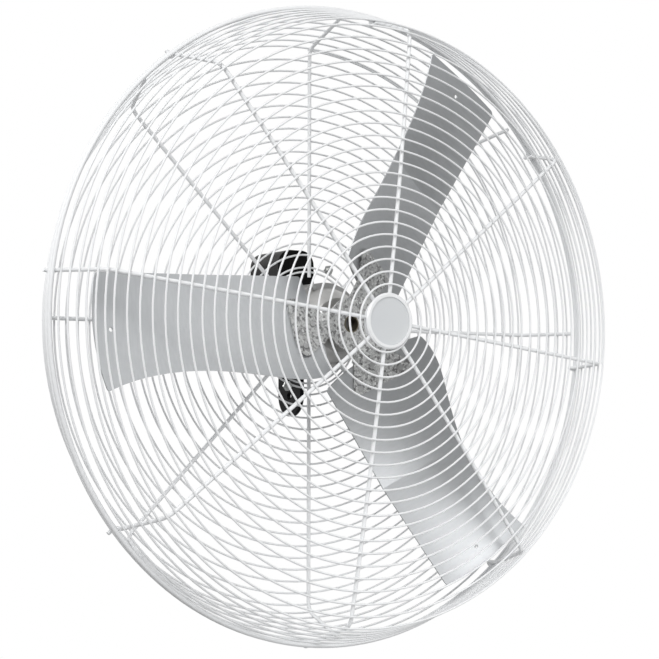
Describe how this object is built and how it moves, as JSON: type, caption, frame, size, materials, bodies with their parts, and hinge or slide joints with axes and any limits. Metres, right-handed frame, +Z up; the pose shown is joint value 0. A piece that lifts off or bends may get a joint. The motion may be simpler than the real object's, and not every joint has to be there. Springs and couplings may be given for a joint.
{
  "type": "basket fan head",
  "caption": "Round basket fan head: dished spiral-wire guards, pitched sheet blades on a spider, round motor with terminal box, and a pivot tongue for a stand.",
  "frame": {"origin": "centre of the pivot hole in the tongue under the motor", "axes": "+X to the right seen from the front, -Y the way the fan blows, +Z up"},
  "size_m": [0.82, 0.301, 0.82],
  "materials": {
    "guard_wire": "white powder coat",
    "badge": "smooth white plastic, bare",
    "zinc_steel": "zinc plated",
    "motor_paint": "grey paint",
    "core_steel": "ground and laminated steel",
    "copper": "varnished winding",
    "black_plastic": "black, fine texture",
    "black_paint": "black powder coat",
    "galvanised": "galvanised, mottled",
    "blade_sheet": "satin rolled sheet"
  },
  "bodies": {
    "head": {"front_ribs": "guard_wire", "centre_plate": "guard_wire", "front_spiral": "guard_wire", "front_side_rings": "guard_wire", "front_rim_ring": "guard_wire", "badge_cap": "badge", "badge_disc": "badge", "badge_screw": "zinc_steel", "rear_ribs": "guard_wire", "rear_spiral": "guard_wire", "rear_side_rings": "guard_wire", "rear_rim_ring": "guard_wire", "rear_hub_rings": "guard_wire", "motor_shell": "motor_paint", "guard_clamp_washers": "zinc_steel", "guard_clamp_screws": "zinc_steel", "front_end_bell": "motor_paint", "front_bell_screws": "zinc_steel", "front_bearing": "zinc_steel", "rear_end_bell": "motor_paint", "rear_bell_screws": "zinc_steel", "rear_bearing": "zinc_steel", "stator_core": "core_steel", "stator_windings": "copper", "terminal_box": "black_plastic", "terminal_box_lid": "black_plastic", "terminal_box_screws": "zinc_steel", "run_capacitor": "black_plastic", "cable_gland": "black_plastic", "tilt_bracket": "black_paint", "tilt_bracket_bolts": "zinc_steel"},
    "propeller": {"motor_shaft": "core_steel", "rotor_core": "core_steel", "hub_boss": "galvanised", "hub_set_screws": "zinc_steel", "spider": "galvanised", "blade_1": "blade_sheet", "blade_2": "blade_sheet", "blade_3": "blade_sheet", "blade_rivets": "blade_sheet"}
  },
  "joints": [
    {"name": "propeller_spin", "type": "hinge", "parent": "head", "child": "propeller", "pos_m": [0, -0.1265, 0.091], "axis": [0, -1, 0], "continuous": true}
  ]
}
